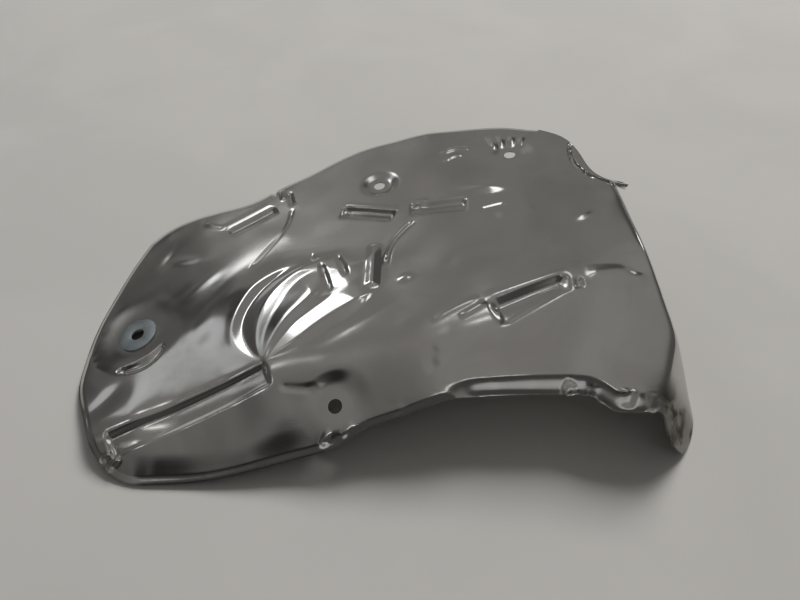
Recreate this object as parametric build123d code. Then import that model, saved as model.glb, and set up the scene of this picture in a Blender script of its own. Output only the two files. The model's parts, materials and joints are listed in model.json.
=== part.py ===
from build123d import *

import math
import os
from typing import NamedTuple

import numpy as np

# Driving sizes in mm, places are drawn in mm on the plan view seen from above
SHIELD_LENGTH = 376.0
SHIELD_DEPTH = 271.0
CREST_HEIGHT = 64.0
FRONT_FOLD_DROP = 0.5
SHEET_THICKNESS = 0.6
HEM_THICKNESS = 1.4
HEM_WIDTH = 5.0
BEND_SOFTNESS = 3.0
WASHER_DIAMETER = 25.0
WASHER_HOLE_DIAMETER = 8.4
WASHER_THICKNESS = 1.5
WASHER_CLEARANCE = 0.12
SEAT_HOLE_DIAMETER = 8.0
RIB_FLANK = 4.0
LIP_WIDTH = 8.0
LIP_DROP = 5.0
ROLLED_EDGE_WIDTH = 4.0
ROLLED_EDGE_DROP = 1.4
WALL_STEEPNESS = 2.8
WING_WIDTH = 150.0
WING_SPACING = 9.0
MIDDLE_WIDTH = 56.0
MIDDLE_SPACING = 3.5
ROOF_SPACING = 6.0
WALL_WIDTH = 34.0
WALL_SPACING = 3.4
POINT_SPACING = 2.0
SECTION_TOLERANCE = 0.4
FIRST_PLACE_STEP = 20
SEAT_KEEP = 3.0

# Outline of the blank on the plan, from the front left corner round both ways
FRONT_EDGE = [
    (-167, -127), (-153, -134), (-138, -135), (-110, -134), (-82, -130), (-55, -125), (-33, -120),
    (-23, -115), (0, -109), (22, -103), (38, -100), (54, -99), (76, -99), (92, -99), (102, -100),
    (110, -104), (116, -108), (124, -109), (138, -110), (143, -111), (147, -116), (162, -117),
]
BACK_EDGE = [
    (-187, 54), (-176, 66), (-158, 75), (-136, 79), (-113, 83), (-89, 97), (-69, 107), (-47, 120),
    (-23, 131), (0, 135), (23, 138), (46, 135), (76, 130), (101, 120),
]
LEFT_EDGE = [
    (-167, -127), (-174, -119), (-178, -113), (-187, -96), (-198, -74), (-200, -63), (-201, -52),
    (-202, -28), (-199, -3), (-194, 29), (-187, 54),
]
RIGHT_EDGE = [
    (162, -117), (171, -106), (175, -88), (174, -60), (172, -30), (170, -6), (168, 10), (162, 23),
    (153, 34), (143, 45), (136, 55), (131, 67), (128, 80), (124, 93), (118, 104), (110, 113), (101, 120),
]


class Panel(NamedTuple):
    """A flat face of the pressed form, by a place on it, its height there and its two slopes."""

    place: tuple
    height: float
    slope_x: float
    slope_y: float


class Rib(NamedTuple):
    """A rib pressed down into the sheet, with a flat floor and sloping flanks."""

    start: tuple
    end: tuple
    half_width: float
    depth: float


class Wrinkle(NamedTuple):
    """A soft crease along a few places, raised or sunk."""

    line: list
    width: float
    height: float


class Seat(NamedTuple):
    """A flat round seat with a hole, leaning by two slopes."""

    centre: tuple
    radius: float
    blend: float
    sink: float
    slope_x: float
    slope_y: float


TOP_PANEL = Panel((98, -42), CREST_HEIGHT, 0.185, -0.05)
LEFT_PANEL = Panel((-199, -46), 2.2, 0.24, -0.04)
FRONT_LEFT_PANEL = Panel((-152, -134), 0.5, 0.04, 0.47)
FRONT_LEFT_SWEEP = 0.00052
FRONT_RIGHT_PANEL = Panel((98, -42), CREST_HEIGHT - FRONT_FOLD_DROP, 0.03, 0.38)
CORNER_PANEL = Panel((162, -117), 1.7, -1.5, 0.9)
WALL_FOOT = (169, 0)
WALL_FOOT_SLANT = -0.075
LIP_START = 20
LIP_FULL = 44
LIP_FADE = 126
LIP_END = 148

LONG_RIB = Rib((-164, -114), (-78, -80), 3.3, 2.4)
UPPER_LEFT_RIB = Rib((-125, 52), (-92, 70), 2.6, 2.6)
MIDDLE_LEFT_RIB = Rib((-37, 52), (-4, 41), 2.6, 3.2)
MIDDLE_RIGHT_RIB = Rib((10, 45), (42, 44), 2.6, 3.0)
UPRIGHT_RIB = Rib((-17, 10), (-17, -22), 1.6, 2.0)
RIGHT_RIB = Rib((52, -54), (94, -38), 3.4, 3.6)
RIBS = [LONG_RIB, UPPER_LEFT_RIB, MIDDLE_LEFT_RIB, MIDDLE_RIGHT_RIB, UPRIGHT_RIB, RIGHT_RIB]

LEFT_SEAT = Seat((-169, -37), 17.0, 8.0, 1.0, 0.24, -0.02)
FRONT_SEAT = Seat((-36, -101), 10.0, 9.0, 2.0, 0.12, -0.02)
MIDDLE_SEAT = Seat((-15, 81), 7.0, 5.0, 3.0, 0.15, 0.0)
RIGHT_SEAT = Seat((80, 94), 7.0, 6.0, 4.0, 0.17, -0.05)
SEATS = [LEFT_SEAT, FRONT_SEAT, MIDDLE_SEAT, RIGHT_SEAT]

WRINKLES = [
    Wrinkle([(-95, 0), (-98, -30), (-98, -58)], 5.0, 1.2),
    Wrinkle([(-83, -66), (-86, -42), (-80, -17), (-65, -5), (-53, -4)], 4.5, 1.6),
    Wrinkle([(-69, -55), (-53, -31)], 4.5, -1.4),
    Wrinkle([(-74, -66), (-45, -46)], 4.0, 1.2),
    Wrinkle([(-70, -60), (-24, -30)], 5.0, 0.8),
    Wrinkle([(-78, 62), (-84, 40), (-100, 7)], 5.0, -1.2),
    Wrinkle([(10, 32), (-3, 20), (-8, -3), (-9, -19)], 4.5, -1.0),
    Wrinkle([(56, 55), (74, 54)], 8.0, 1.8),
    Wrinkle([(104, -38), (142, -37)], 6.0, 1.6),
    Wrinkle([(-180, -94), (-171, -76)], 6.0, -1.4),
    Wrinkle([(21, -73), (17, -80), (20, -88)], 6.0, -1.2),
    Wrinkle([(72, 116), (74, 126)], 3.5, 1.2),
    Wrinkle([(86, 112), (89, 122)], 3.5, 1.2),
]


def spline_values(knots, values, wanted):
    """Natural cubic spline through the values at the knots, read at the wanted places."""
    knots = np.asarray(knots, float)
    values = np.asarray(values, float)
    count = len(knots)
    step = np.diff(knots)
    rise = np.diff(values, axis=0) / step[:, None]
    system = np.eye(count)
    right = np.zeros_like(values)
    for i in range(1, count - 1):
        system[i, i - 1] = step[i - 1]
        system[i, i] = 2 * (step[i - 1] + step[i])
        system[i, i + 1] = step[i]
        right[i] = 6 * (rise[i] - rise[i - 1])
    bend = np.linalg.solve(system, right)
    cell = np.clip(np.searchsorted(knots, wanted) - 1, 0, count - 2)
    ahead = (wanted - knots[cell])[:, None]
    behind = (knots[cell + 1] - wanted)[:, None]
    width = step[cell][:, None]
    return (
        bend[cell] * behind**3 / (6 * width)
        + bend[cell + 1] * ahead**3 / (6 * width)
        + (values[cell] / width - bend[cell] * width / 6) * behind
        + (values[cell + 1] / width - bend[cell + 1] * width / 6) * ahead
    )


def edge_curve(points, shares):
    """Points along an edge of the outline at shares of its length."""
    points = np.asarray(points, float)
    run = np.concatenate([[0], np.cumsum(np.linalg.norm(np.diff(points, axis=0), axis=1))])
    return spline_values(run / run[-1], points, np.asarray(shares, float))


def smooth_step(value):
    """Ease from 0 to 1 as the value goes from 0 to 1."""
    value = np.clip(value, 0, 1)
    return value * value * (3 - 2 * value)


def line_distance(x, y, line):
    """Distance on the plan from each place to a line of places."""
    nearest = np.full(np.shape(x), np.inf)
    for (x0, y0), (x1, y1) in zip(line[:-1], line[1:]):
        length = math.hypot(x1 - x0, y1 - y0)
        along = np.clip(((x - x0) * (x1 - x0) + (y - y0) * (y1 - y0)) / length**2, 0, 1)
        away = np.hypot(x - x0 - along * (x1 - x0), y - y0 - along * (y1 - y0))
        nearest = np.minimum(nearest, away)
    return nearest


outline = np.array(FRONT_EDGE + BACK_EDGE + LEFT_EDGE + RIGHT_EDGE, float)
STRETCH = np.array([SHIELD_LENGTH, SHIELD_DEPTH]) / (outline.max(axis=0) - outline.min(axis=0))


def placed(places):
    """Places of the drawing stretched to the driving length and depth."""
    return np.asarray(places, float) * STRETCH


def panel_height(panel, x, y):
    """Height of a flat panel over places on the plan."""
    px, py = placed(panel.place)
    return panel.height + panel.slope_x * (x - px) + panel.slope_y * (y - py)


def form_height(x, y):
    """Height of the plain pressed form, the lowest of its panels with soft bends between them."""
    front_left = panel_height(FRONT_LEFT_PANEL, x, y)
    front_left = front_left + FRONT_LEFT_SWEEP * np.maximum(x - placed(FRONT_LEFT_PANEL.place)[0], 0) ** 2
    foot_x, foot_y = placed(WALL_FOOT)
    wall = WALL_STEEPNESS * (foot_x + WALL_FOOT_SLANT * (y - foot_y) - x)
    faces = [
        panel_height(TOP_PANEL, x, y),
        panel_height(LEFT_PANEL, x, y),
        front_left,
        panel_height(FRONT_RIGHT_PANEL, x, y),
        panel_height(CORNER_PANEL, x, y),
        wall,
    ]
    return -BEND_SOFTNESS * np.log(sum(np.exp(-face / BEND_SOFTNESS) for face in faces))


def seat_height(seat, x, y):
    """Height of a seat's own plane over places on the plan."""
    cx, cy = placed(seat.centre)
    middle = float(form_height(np.array(cx), np.array(cy))) - seat.sink
    return middle + seat.slope_x * (x - cx) + seat.slope_y * (y - cy)


def ramp(x, start, end):
    """Ease from 0 to 1 between two places along the length of the drawing."""
    low, high = placed([(start, 0), (end, 0)])[:, 0]
    return smooth_step((x - low) / (high - low))


def sheet_height(x, y, front_away, other_away):
    """Height of the finished sheet's upper face."""
    height = form_height(x, y)
    for rib in RIBS:
        away = line_distance(x, y, placed([rib.start, rib.end]))
        height = height - rib.depth * smooth_step((rib.half_width + RIB_FLANK - away) / RIB_FLANK)
    for wrinkle in WRINKLES:
        away = line_distance(x, y, placed(wrinkle.line))
        height = height + wrinkle.height * np.exp(-((away / wrinkle.width * 2) ** 2))
    lip_share = ramp(x, LIP_START, LIP_FULL) * (1 - ramp(x, LIP_FADE, LIP_END))
    height = height - lip_share * LIP_DROP * (1 - smooth_step(front_away / LIP_WIDTH))
    rolled = np.minimum(front_away + lip_share * LIP_WIDTH, other_away)
    height = height - ROLLED_EDGE_DROP * (1 - smooth_step(rolled / ROLLED_EDGE_WIDTH))
    for seat in SEATS:
        cx, cy = placed(seat.centre)
        share = smooth_step((seat.radius + seat.blend - np.hypot(x - cx, y - cy)) / seat.blend)
        height = height + share * (seat_height(seat, x, y) - height)
    return height


def stations(length, spacing):
    """Even shares of a length, about the spacing apart."""
    return np.linspace(0, 1, max(int(round(length / spacing)), 4) + 1)


# Stations across the length, closer together over the slanting rib and down the wall at the right
ROOF_WIDTH = SHIELD_LENGTH - WING_WIDTH - MIDDLE_WIDTH - WALL_WIDTH
across = np.array([0.0])
for width, spacing in (
    (WING_WIDTH, WING_SPACING),
    (MIDDLE_WIDTH, MIDDLE_SPACING),
    (ROOF_WIDTH, ROOF_SPACING),
    (WALL_WIDTH, WALL_SPACING),
):
    across = np.concatenate([across, across[-1] + stations(width, spacing)[1:] * width / SHIELD_LENGTH])
along = stations(SHIELD_DEPTH, POINT_SPACING)

front = edge_curve(placed(FRONT_EDGE), across)
back = edge_curve(placed(BACK_EDGE), across)
left = edge_curve(placed(LEFT_EDGE), along)
right = edge_curve(placed(RIGHT_EDGE), along)

# Blend the four edges into one plan grid
u = across[:, None, None]
v = along[None, :, None]
corners = (
    (1 - u) * (1 - v) * front[0] + u * (1 - v) * front[-1] + (1 - u) * v * back[0] + u * v * back[-1]
)
plan = (
    (1 - v) * front[:, None] + v * back[:, None] + (1 - u) * left[None, :] + u * right[None, :] - corners
)
plan_x = plan[..., 0]
plan_y = plan[..., 1]
front_away = line_distance(plan_x, plan_y, front)
other_away = np.minimum(line_distance(plan_x, plan_y, left), line_distance(plan_x, plan_y, back))
right_away = line_distance(plan_x, plan_y, right) * WALL_STEEPNESS
upper = np.dstack([plan_x, plan_y, sheet_height(plan_x, plan_y, front_away, other_away)])

# The lower face lies one thickness under the upper one, more along the hem
run_u = np.gradient(upper, axis=0)
run_v = np.gradient(upper, axis=1)
normal = np.cross(run_u, run_v)
normal = normal / np.linalg.norm(normal, axis=2, keepdims=True)
edge_away = np.minimum(np.minimum(front_away, other_away), right_away)
hem = 1 - smooth_step((edge_away - 0.5 * HEM_WIDTH) / (0.5 * HEM_WIDTH))
depth = SHEET_THICKNESS + (HEM_THICKNESS - SHEET_THICKNESS) * hem
lower = upper - normal * depth[..., None]

# Stand the shield on its lowest point, centred over the origin
points = np.concatenate([upper.reshape(-1, 3), lower.reshape(-1, 3)])
middle = 0.5 * (points.max(axis=0) + points.min(axis=0))
shift = np.array([middle[0], middle[1], points[:, 2].min()])
upper = upper - shift
lower = lower - shift


def strips(first, second):
    """Ruled faces between two rows of curves."""
    return [Face.make_surface_from_curves(a, b) for a, b in zip(first, second)]


def as_points(row):
    """A row of coordinates as points."""
    return [tuple(float(value) for value in place) for place in row]


def seat_places(row):
    """Places of a section that lie on a flat seat or close round it."""
    near = np.zeros(len(row), bool)
    for seat in SEATS:
        cx, cy = placed(seat.centre) - shift[:2]
        near |= np.hypot(row[:, 0] - cx, row[:, 1] - cy) < seat.radius + SEAT_KEEP
    return np.flatnonzero(near).tolist()


def kept_places(row):
    """The few places along a section that its curve needs to stay within the section tolerance."""
    kept = sorted(set(range(0, len(row), FIRST_PLACE_STEP)) | set(seat_places(row)) | {len(row) - 1})
    while True:
        curve = spline_values(along[kept], row[kept], along)
        error = np.linalg.norm(curve - row, axis=1)
        worst = int(np.argmax(error))
        if error[worst] < SECTION_TOLERANCE:
            return kept
        kept = sorted(kept + [worst])


def section_curve(row, kept):
    """A smooth curve through the kept places of one section."""
    return Edge.make_spline(as_points(row[kept]), parameters=[float(share) for share in along[kept]])


kept_rows = [kept_places(row) for row in upper]
upper_curves = [section_curve(row, kept) for row, kept in zip(upper, kept_rows)]
lower_curves = [section_curve(row, kept) for row, kept in zip(lower, kept_rows)]
faces = strips(upper_curves[:-1], upper_curves[1:]) + strips(lower_curves[:-1], lower_curves[1:])
for end in (0, -1):
    upper_ends = as_points(upper[:, end])
    lower_ends = as_points(lower[:, end])
    upper_lines = [Edge.make_line(a, b) for a, b in zip(upper_ends[:-1], upper_ends[1:])]
    lower_lines = [Edge.make_line(a, b) for a, b in zip(lower_ends[:-1], lower_ends[1:])]
    faces += strips(upper_lines, lower_lines)
faces += strips([upper_curves[0], upper_curves[-1]], [lower_curves[0], lower_curves[-1]])
sheet = Solid(Shell(faces))


def seat_location(seat):
    """Place of a seat's centre with its own axis as z."""
    cx, cy = placed(seat.centre)
    cz = float(seat_height(seat, cx, cy))
    axis = Vector(-seat.slope_x, -seat.slope_y, 1)
    place = Vector(cx - shift[0], cy - shift[1], cz - shift[2])
    return Plane(origin=place, z_dir=axis).location


for seat in SEATS:
    bore = WASHER_HOLE_DIAMETER if seat is LEFT_SEAT else SEAT_HOLE_DIAMETER
    sheet = sheet - seat_location(seat) * Cylinder(bore / 2, 4 * HEM_THICKNESS)

ring = Cylinder(WASHER_DIAMETER / 2, WASHER_THICKNESS) - Cylinder(WASHER_HOLE_DIAMETER / 2, WASHER_THICKNESS)
washer = seat_location(LEFT_SEAT) * Pos(0, 0, WASHER_THICKNESS / 2 + WASHER_CLEARANCE) * ring

os.makedirs("parts", exist_ok=True)
export_step(sheet, "parts/shield_sheet.step")
export_step(washer, "parts/washer.step")
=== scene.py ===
"""Looks of a pressed exhaust heat shield: a creased bright sheet with bolt seats and a washer."""
import json
import logging
import math
from dataclasses import dataclass, field

import bpy
import numpy as np
from mathutils import Euler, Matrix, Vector


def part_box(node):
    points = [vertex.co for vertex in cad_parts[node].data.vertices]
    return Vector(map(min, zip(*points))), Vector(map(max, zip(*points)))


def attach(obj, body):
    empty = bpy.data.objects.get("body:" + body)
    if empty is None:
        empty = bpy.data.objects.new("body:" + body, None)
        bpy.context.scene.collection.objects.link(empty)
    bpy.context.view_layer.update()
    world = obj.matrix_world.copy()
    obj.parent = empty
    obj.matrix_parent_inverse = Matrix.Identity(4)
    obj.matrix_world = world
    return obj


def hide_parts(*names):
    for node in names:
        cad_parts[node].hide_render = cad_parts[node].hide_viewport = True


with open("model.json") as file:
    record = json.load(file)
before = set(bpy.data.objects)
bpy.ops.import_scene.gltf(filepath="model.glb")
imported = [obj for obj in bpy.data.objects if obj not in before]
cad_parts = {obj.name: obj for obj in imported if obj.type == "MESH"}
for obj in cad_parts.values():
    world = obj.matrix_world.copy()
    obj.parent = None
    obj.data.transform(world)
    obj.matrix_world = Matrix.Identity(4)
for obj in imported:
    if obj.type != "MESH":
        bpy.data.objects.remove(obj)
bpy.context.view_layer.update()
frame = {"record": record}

LOG = logging.getLogger("heat_shield")
MM = 0.001
BODY = "root"

Place = tuple[float, float]
Line = tuple[Place, ...]
Colour = tuple[float, float, float, float]
Array = np.ndarray

# Stretch of the grain's pattern, long along the sheet and fine across it
GRAIN_STRETCH = (1.0, 40.0, 40.0)

# Fineness of the finishes' noise, how far the smudges swirl, and the noise where they start and are full
GRAIN_DETAIL = 3.0
SMUDGE_DETAIL = 5.0
SMUDGE_SWIRL = 0.6
SMUDGE_RANGE: Place = (0.36, 0.66)

# From none of a thing to all of it
WHOLE_RANGE: Place = (0.0, 1.0)

# Where a Mix node for colours has its two colours and its result
MIX_FIRST = 6
MIX_SECOND = 7
MIX_RESULT = 2

# Places that a curved crease is followed through for each corner of its line
CURVE_STEPS = 5

# Places beside a corner, and their weights, that round it off
ROUNDING_STEPS = ((-1, 0.1), (-0.5, 0.25), (0, 0.3), (0.5, 0.25), (1, 0.1))

# Outline of the blank in mm on the plan, from the front left corner round both ways
FRONT_EDGE: Line = (
    (-167, -127), (-153, -134), (-138, -135), (-110, -134), (-82, -130), (-55, -125), (-33, -120),
    (-23, -115), (0, -109), (22, -103), (38, -100), (54, -99), (76, -99), (92, -99), (102, -100),
    (110, -104), (116, -108), (124, -109), (138, -110), (143, -111), (147, -116), (162, -117),
)
BACK_EDGE: Line = (
    (-187, 54), (-176, 66), (-158, 75), (-136, 79), (-113, 83), (-89, 97), (-69, 107), (-47, 120),
    (-23, 131), (0, 135), (23, 138), (46, 135), (76, 130), (101, 120),
)
LEFT_EDGE: Line = (
    (-167, -127), (-174, -119), (-178, -113), (-187, -96), (-198, -74), (-200, -63), (-201, -52),
    (-202, -28), (-199, -3), (-194, 29), (-187, 54),
)
RIGHT_EDGE: Line = (
    (162, -117), (171, -106), (175, -88), (174, -60), (172, -30), (170, -6), (168, 10), (162, 23),
    (153, 34), (140.5, 44.5), (132, 55), (128, 67), (126, 80), (123, 93), (118, 104), (110, 113), (101, 120),
)


def smooth_step(value: Array) -> Array:
    """Ease from 0 to 1 as the value goes from 0 to 1."""
    value = np.clip(value, 0, 1)
    return value * value * (3 - 2 * value)


def spline_values(knots: Array, values: Array, wanted: Array) -> Array:
    """Natural cubic spline through values at knots.

    Args:
        knots: Rising places of the values.
        values: One row of coordinates for each knot.
        wanted: Places to read the spline at.

    Returns:
        One row of coordinates for each wanted place.
    """
    count = len(knots)
    step = np.diff(knots)
    rise = np.diff(values, axis=0) / step[:, None]
    system = np.eye(count)
    right = np.zeros_like(values)
    for i in range(1, count - 1):
        system[i, i - 1] = step[i - 1]
        system[i, i] = 2 * (step[i - 1] + step[i])
        system[i, i + 1] = step[i]
        right[i] = 6 * (rise[i] - rise[i - 1])
    bend = np.linalg.solve(system, right)
    cell = np.clip(np.searchsorted(knots, wanted) - 1, 0, count - 2)
    ahead = (wanted - knots[cell])[:, None]
    behind = (knots[cell + 1] - wanted)[:, None]
    width = step[cell][:, None]
    return (
        bend[cell] * behind**3 / (6 * width)
        + bend[cell + 1] * ahead**3 / (6 * width)
        + (values[cell] / width - bend[cell] * width / 6) * behind
        + (values[cell + 1] / width - bend[cell + 1] * width / 6) * ahead
    )


def edge_curve(points: Array, shares: Array) -> Array:
    """Points along an edge of the outline.

    Args:
        points: Corner places of the edge.
        shares: Shares of its length from 0 to 1.

    Returns:
        One place for each share.
    """
    run = np.concatenate([[0], np.cumsum(np.linalg.norm(np.diff(points, axis=0), axis=1))])
    return spline_values(run / run[-1], points, shares)


@dataclass(frozen=True)
class NearLine:
    """Where places on the plan lie beside a line.

    Attributes:
        away: Distance across the line in mm, positive on its left side.
        run: Share of the line's length at the nearest place.
        past: Distance in mm beyond the line's ends, or 0 beside it.
    """

    away: Array
    run: Array
    past: Array


def beside(x: Array, y: Array, line: Array) -> NearLine:
    """Find the nearest place on a line for every place on the plan.

    Args:
        x: Places along the length in mm.
        y: Places along the depth in mm.
        line: Corner places of the line.

    Returns:
        The signed distance, share of length and overshoot.
    """
    lengths = np.linalg.norm(np.diff(line, axis=0), axis=1)
    starts = np.concatenate([[0], np.cumsum(lengths)])
    nearest = np.full(np.shape(x), np.inf)
    away = np.zeros(np.shape(x))
    run = np.zeros(np.shape(x))
    past = np.zeros(np.shape(x))
    for i, length in enumerate(lengths):
        tangent = (line[i + 1] - line[i]) / length
        along = (x - line[i][0]) * tangent[0] + (y - line[i][1]) * tangent[1]
        across = (y - line[i][1]) * tangent[0] - (x - line[i][0]) * tangent[1]
        inside = np.clip(along, 0, length)
        gap = np.hypot(along - inside, across)
        closer = gap < nearest
        nearest = np.where(closer, gap, nearest)
        away = np.where(closer, np.where(across < 0, -gap, gap), away)
        run = np.where(closer, (starts[i] + inside) / starts[-1], run)
        past = np.where(closer, np.abs(along - inside), past)
    return NearLine(away, run, past)


@dataclass(frozen=True)
class Panel:
    """A flat face of the pressed form, in mm on the plan."""

    place: Place
    height: float
    slope_x: float
    slope_y: float

    def height_at(self, x: Array, y: Array, stretch: Array) -> Array:
        """Height of the face over places on the plan."""
        middle = np.asarray(self.place) * stretch
        return self.height + self.slope_x * (x - middle[0]) + self.slope_y * (y - middle[1])


@dataclass(frozen=True)
class Rib:
    """A rib pressed into the sheet along a straight line.

    Attributes:
        start: Where its line begins on the plan, in mm.
        end: Where its line ends.
        profile: Pairs of distance to the left of the line and height, both in mm.
        spread: What the distances are multiplied by at the start and at the end.
        end_length: Length in mm over which each end runs out.
        rounding: How far in mm the profile's corners are rounded.
    """

    start: Place
    end: Place
    profile: Line
    spread: tuple[float, float] = (1.0, 1.0)
    end_length: float = 3.0
    rounding: float = 0.5

    def height_at(self, x: Array, y: Array, stretch: Array) -> Array:
        """Height that the rib adds over places on the plan.

        Args:
            x: Places along the length in mm.
            y: Places along the depth in mm.
            stretch: What the drawing is multiplied by along the length and the depth.

        Returns:
            The height at each place in mm.
        """
        line = np.asarray([self.start, self.end]) * stretch
        length = np.linalg.norm(line[1] - line[0])
        tangent = (line[1] - line[0]) / length
        along = (x - line[0][0]) * tangent[0] + (y - line[0][1]) * tangent[1]
        across = (y - line[0][1]) * tangent[0] - (x - line[0][0]) * tangent[1]
        across = across / np.interp(along, (0, length), self.spread)
        places, heights = np.asarray(self.profile, float).T
        raised = np.zeros(np.shape(x))
        for share, weight in ROUNDING_STEPS:
            raised = raised + weight * np.interp(across + share * 2 * self.rounding, places, heights)
        inside = np.minimum(along, length - along)
        return raised * smooth_step((inside + self.end_length) / self.end_length)


@dataclass(frozen=True)
class Crease:
    """A ridge or valley along a curved line.

    Attributes:
        line: Places that its middle line runs through.
        widths: Half widths in mm at even steps along the line.
        height: Height in mm, negative for a valley.
        flat: Share of the half width that stays level.
        fade: Share of the length over which each end runs out.
    """

    line: Line
    widths: tuple[float, ...]
    height: float
    flat: float = 0.0
    fade: float = 0.25

    def height_at(self, x: Array, y: Array, stretch: Array) -> Array:
        """Height that the crease adds over places on the plan.

        Args:
            x: Places along the length in mm.
            y: Places along the depth in mm.
            stretch: What the drawing is multiplied by along the length and the depth.

        Returns:
            The height at each place in mm.
        """
        places = np.asarray(self.line, float) * stretch
        if len(places) > 2:
            places = edge_curve(places, np.linspace(0, 1, CURVE_STEPS * len(places)))
        near = beside(x, y, places)
        width = np.interp(near.run, np.linspace(0, 1, len(self.widths)), self.widths)
        across = np.clip((np.abs(near.away) / width - self.flat) / (1 - self.flat), 0, 1)
        ends = smooth_step(near.run / self.fade) * smooth_step((1 - near.run) / self.fade)
        return self.height * (1 - across**2) ** 2 * ends


@dataclass(frozen=True)
class Pleats:
    """Pleats that fan out from a gathered point and swing to one side as they run out.

    Attributes:
        apex: Where the pleats meet on the plan, in mm.
        first_angle: Bearing in degrees of the edge that stays straight.
        swing: Share by which the other edges close up for each mm from the apex.
        swing_start: Distance in mm from the apex where the lines' angles are measured.
        lines: Pairs of angle in degrees past the first edge and height for each mm from the apex.
        growth: Distance in mm from the apex over which the heights grow.
        limits: Pairs of angle past the first edge and distance in mm where the fan has run out.
        run_out: Length in mm over which it runs out.
        wobble: How far in degrees the folds wander, and over how many mm and degrees.
        rounding: How far in degrees the folds are rounded.
        swing_limits: Least and most that the angles are divided by.
    """

    apex: Place
    first_angle: float
    swing: float
    swing_start: float
    lines: Line
    growth: float
    limits: Line
    run_out: float = 16.0
    wobble: tuple[float, float, float] = (1.6, 9.0, 14.0)
    rounding: float = 1.2
    swing_limits: Place = (0.4, 1.2)

    def height_at(self, x: Array, y: Array, stretch: Array) -> Array:
        """Height that the pleats add over places on the plan.

        Args:
            x: Places along the length in mm.
            y: Places along the depth in mm.
            stretch: What the drawing is multiplied by along the length and the depth.

        Returns:
            The height at each place in mm.
        """
        apex = np.asarray(self.apex) * stretch
        reach = np.hypot(x - apex[0], y - apex[1])
        angle = np.degrees(np.arctan2(y - apex[1], x - apex[0])) - self.first_angle
        angle = (angle + 180) % 360 - 180
        angle = angle / np.clip(1 - self.swing * (reach - self.swing_start), *self.swing_limits)
        wander, wander_reach, wander_turn = self.wobble
        angle = angle + wander * np.sin(reach / wander_reach + angle / wander_turn)
        angles, heights = np.asarray(self.lines, float).T
        slope = np.zeros(np.shape(x))
        for share, weight in ROUNDING_STEPS:
            slope = slope + weight * np.interp(angle + share * 2 * self.rounding, angles, heights)
        limit = np.interp(angle, *np.asarray(self.limits, float).T)
        grown = self.growth * np.tanh(reach / self.growth)
        return slope * grown * smooth_step((limit - reach) / self.run_out)


@dataclass(frozen=True)
class Dent:
    """A soft oval swelling or hollow, turned by an angle in degrees."""

    centre: Place
    half_length: float
    half_width: float
    turn: float
    height: float

    def height_at(self, x: Array, y: Array, stretch: Array) -> Array:
        """Height that the dent adds over places on the plan.

        Args:
            x: Places along the length in mm.
            y: Places along the depth in mm.
            stretch: What the drawing is multiplied by along the length and the depth.

        Returns:
            The height at each place in mm.
        """
        middle = np.asarray(self.centre) * stretch
        turn = math.radians(self.turn)
        along = (x - middle[0]) * math.cos(turn) + (y - middle[1]) * math.sin(turn)
        across = (y - middle[1]) * math.cos(turn) - (x - middle[0]) * math.sin(turn)
        return self.height * np.exp(-((along / self.half_length) ** 2) - (across / self.half_width) ** 2)


@dataclass(frozen=True)
class Knocks:
    """Small random dents from handling, over the whole sheet or along its edges.

    Attributes:
        count: How many dents there are.
        lengths: Shortest and longest half length in mm.
        slope: Steepest side of a dent.
        seed: Start of the random draws.
        edge_reach: How far in from the edge they lie in mm, or 0 for anywhere.
        width_shares: Narrowest and widest share of a dent's length that is its width.
        edge_shares: Least and most of the reach that a dent lies in from the edge.
    """

    count: int
    lengths: tuple[float, float]
    slope: float
    seed: int
    edge_reach: float = 0.0
    width_shares: Place = (0.35, 0.7)
    edge_shares: Place = (0.2, 1.0)

    def dents(self, rim: Array) -> list[Dent]:
        """Draw the dents.

        Args:
            rim: Places round the outline of the drawing.

        Returns:
            One dent for each draw.
        """
        draw = np.random.default_rng(self.seed)
        low, high = rim.min(axis=0), rim.max(axis=0)
        middle = 0.5 * (low + high)
        drawn = []
        for _ in range(self.count):
            length = draw.uniform(*self.lengths)
            width = length * draw.uniform(*self.width_shares)
            turn = draw.uniform(0, 180)
            height = draw.uniform(-1, 1) * self.slope * width
            place = draw.uniform(low, high)
            if self.edge_reach > 0:
                edge = rim[draw.integers(len(rim))]
                inward = (middle - edge) / np.linalg.norm(middle - edge)
                place = edge + inward * draw.uniform(*self.edge_shares) * self.edge_reach
            drawn.append(Dent(tuple(place), length, width, turn, height))
        return drawn


@dataclass(frozen=True)
class Seat:
    """A flat round seat for a bolt, leaning by two slopes, with lengths in mm."""

    centre: Place
    radius: float
    blend: float
    sink: float
    slope_x: float
    slope_y: float


@dataclass(frozen=True)
class Waves:
    """Slight random waviness of the thin sheet, with wave lengths in mm."""

    count: int = 36
    shortest: float = 26.0
    longest: float = 95.0
    slope: float = 0.006
    seed: int = 7

    def height_at(self, x: Array, y: Array) -> Array:
        """Height of the waviness over places on the plan.

        Args:
            x: Places along the length in mm.
            y: Places along the depth in mm.

        Returns:
            The height at each place in mm.
        """
        draw = np.random.default_rng(self.seed)
        height = np.zeros(np.shape(x))
        for _ in range(self.count):
            length = draw.uniform(self.shortest, self.longest)
            heading = draw.uniform(0, 2 * math.pi)
            phase = draw.uniform(0, 2 * math.pi)
            turns = 2 * math.pi / length
            path = x * math.cos(heading) + y * math.sin(heading)
            height = height + self.slope / turns * np.sin(turns * path + phase)
        return height


# Flat faces of the form
TOP_PANEL = Panel((98, -42), 64.0, 0.185, -0.05)
LEFT_PANEL = Panel((-199, -46), 2.2, 0.24, -0.04)
FRONT_LEFT_PANEL = Panel((-152, -134), 0.5, 0.04, 0.47)
FRONT_RIGHT_PANEL = Panel((98, -42), 63.5, 0.03, 0.38)
CORNER_PANEL = Panel((162, -117), 1.7, -1.5, 0.9)

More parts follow.
